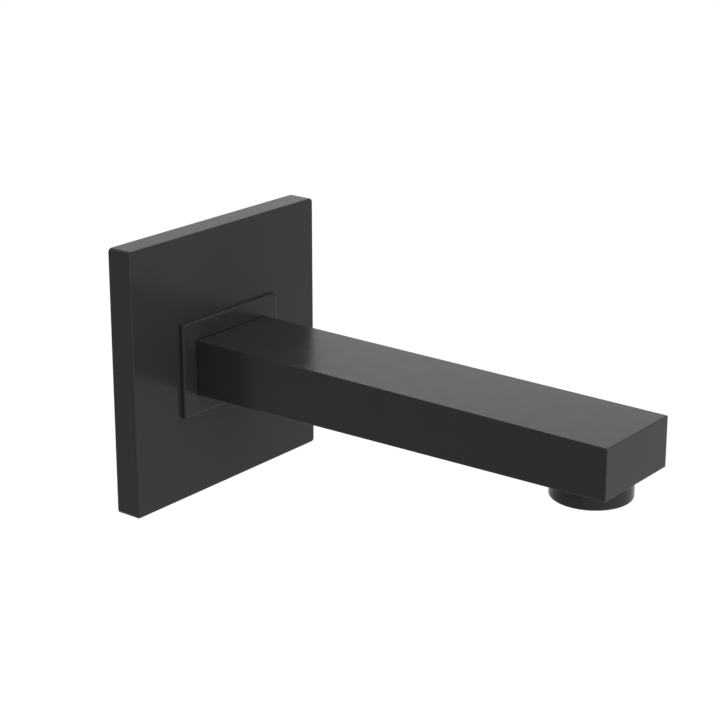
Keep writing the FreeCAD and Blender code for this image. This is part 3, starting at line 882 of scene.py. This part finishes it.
world = bpy.data.worlds.new("studio")
world.use_nodes = True
world_tree = world.node_tree
world_tree.nodes.clear()
bpy.context.scene.world = world
world_seen = plain_shader(world_tree, "ShaderNodeBackground", WHITE, WORLD_GLOW)
world_lit = plain_shader(world_tree, "ShaderNodeBackground", WHITE, WORLD_LIGHT)
world_output = world_tree.nodes.new("ShaderNodeOutputWorld")
world_tree.links.new(white_to_the_eye(world_tree, world_seen, world_lit), world_output.inputs["Surface"])

# To the eye the floor is mostly its glow, which hides its end, and a part of it takes the object's shadow.
floor_material = bpy.data.materials.new("floor")
floor_material.use_nodes = True
floor_tree = floor_material.node_tree
floor_tree.nodes.clear()
matte = plain_shader(floor_tree, "ShaderNodeBsdfDiffuse", FLOOR_COLOUR)
glow = plain_shader(floor_tree, "ShaderNodeEmission", WHITE, FLOOR_GLOW)
floor_seen = mix_shaders(floor_tree, FLOOR_SHADOW, glow, matte)
floor_output = floor_tree.nodes.new("ShaderNodeOutputMaterial")
floor_tree.links.new(white_to_the_eye(floor_tree, floor_seen, matte), floor_output.inputs["Surface"])
floor_points = []
for side_x, side_y in ((-1, -1), (1, -1), (1, 1), (-1, 1)):
    floor_points.append((side_x * FLOOR_HALF, side_y * FLOOR_HALF, FLOOR_LEVEL))
floor_mesh = bpy.data.meshes.new("floor")
floor_mesh.from_pydata(floor_points, [], [(0, 1, 2, 3)])
floor_mesh.materials.append(floor_material)
floor = bpy.data.objects.new("floor", floor_mesh)
bpy.context.scene.collection.objects.link(floor)


# Lamps: square, in metres, with the brightness of their faces, all turned to the middle of the spout. The top
# lamp lights the upper faces, the front lamp the plate's face, and the back lamp the bar's top from behind.

LAMP_TARGET = (0, -0.08, 0)
LAMPS = {
    "top_lamp": {"place": (-0.3, -0.5, 1.3), "side": 1.4, "brightness": 1.2},
    "front_lamp": {"place": (0, -1.6, 0.12), "side": 0.9, "brightness": 6.2},
    "back_lamp": {"place": (1.65, 0.8, 0.76), "side": 0.85, "brightness": 0.4},
}


def aim(thing, direction):
    """Put a lamp or camera in the scene, turned to look along a direction."""
    thing.rotation_euler = Vector(direction).to_track_quat("-Z", "Y").to_euler()
    bpy.context.scene.collection.objects.link(thing)


def soft_lamp(name, place, side, brightness):
    """A square lamp. Its power follows from its size and the brightness of its face."""
    light = bpy.data.lights.new(name, "AREA")
    light.shape = "SQUARE"
    light.size = side
    light.energy = brightness * math.pi * side ** 2
    lamp = bpy.data.objects.new(name, light)
    lamp.location = place
    aim(lamp, Vector(LAMP_TARGET) - Vector(place))


for lamp_name, lamp_facts in LAMPS.items():
    soft_lamp(lamp_name, **lamp_facts)


# Camera: it stands where the photograph's did, found by fitting the part's own edges to the picture

CAMERA_PLACE = (-0.5069, -0.4716, 0.2314)
CAMERA_YAW = 0.9038
CAMERA_TILT = 0.2923
CAMERA_SENSOR = 36
CAMERA_LENS = 96.8
CAMERA_SHIFT = -0.1
CAMERA_SIGHT = 50

camera_data = bpy.data.cameras.new("camera")
camera_data.sensor_width = CAMERA_SENSOR
camera_data.lens = CAMERA_LENS
camera_data.shift_y = CAMERA_SHIFT
camera_data.clip_end = CAMERA_SIGHT
camera = bpy.data.objects.new("camera", camera_data)
camera.location = CAMERA_PLACE
level_reach = math.cos(CAMERA_TILT)
aim(camera, (
    math.sin(CAMERA_YAW) * level_reach,
    math.cos(CAMERA_YAW) * level_reach,
    -math.sin(CAMERA_TILT),
))
bpy.context.scene.camera = camera
bpy.context.scene.view_settings.view_transform = "Standard"
